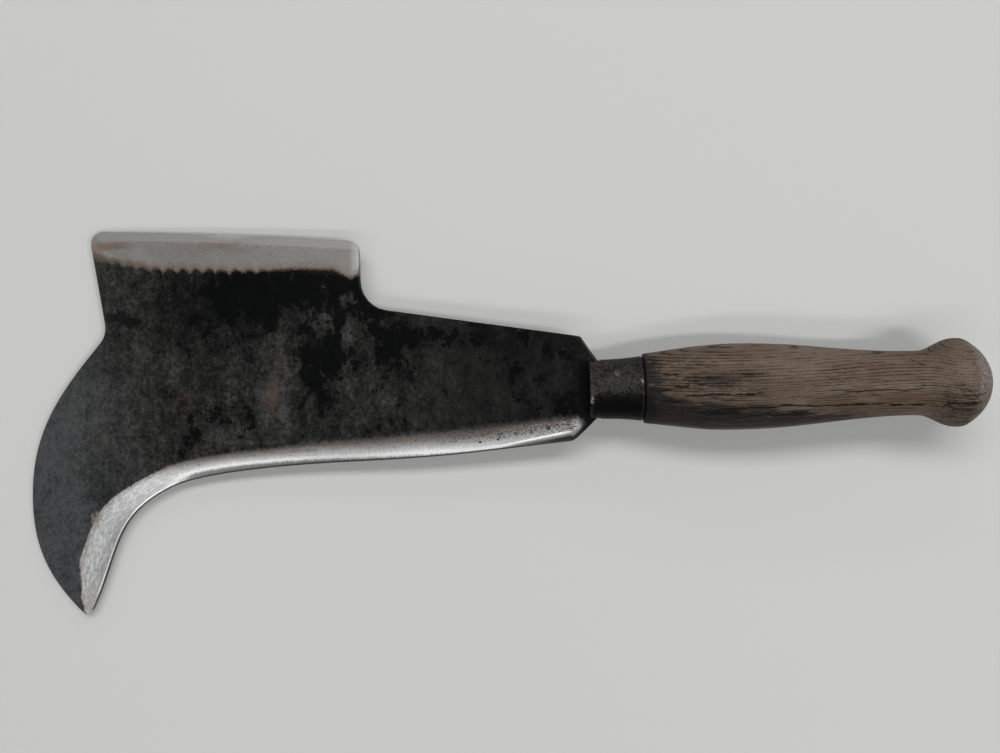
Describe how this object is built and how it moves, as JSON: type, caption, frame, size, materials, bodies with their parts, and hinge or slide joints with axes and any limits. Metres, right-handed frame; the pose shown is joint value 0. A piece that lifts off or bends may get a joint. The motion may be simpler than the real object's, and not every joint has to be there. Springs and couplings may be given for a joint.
{
  "type": "billhook",
  "caption": "Hand billhook with a hooked, double-edged forged blade, a ring ferrule and a turned wooden handle with a domed knob, for cutting brush and hedge stems.",
  "frame": {"origin": "on the handle's axis, at the ferrule's front rim", "axes": "+X along the handle from the blade to the knob, +Y towards the straight back edge, +Z square to the blade's cheeks"},
  "size_m": [0.4292, 0.1739, 0.0392],
  "materials": {
    "forged_steel": "black forge scale on the cheeks, with bright ground bevels along both edges",
    "ferrule_steel": "dark worn steel",
    "ash_wood": "old oiled ash with dark pores and stains",
    "washer_steel": "dark worn steel",
    "nail_steel": "worn steel"
  },
  "bodies": {
    "root": {"blade": "forged_steel", "ferrule": "ferrule_steel", "handle": "ash_wood", "tang_washer": "washer_steel", "ferrule_nail": "nail_steel"}
  },
  "joints": []
}
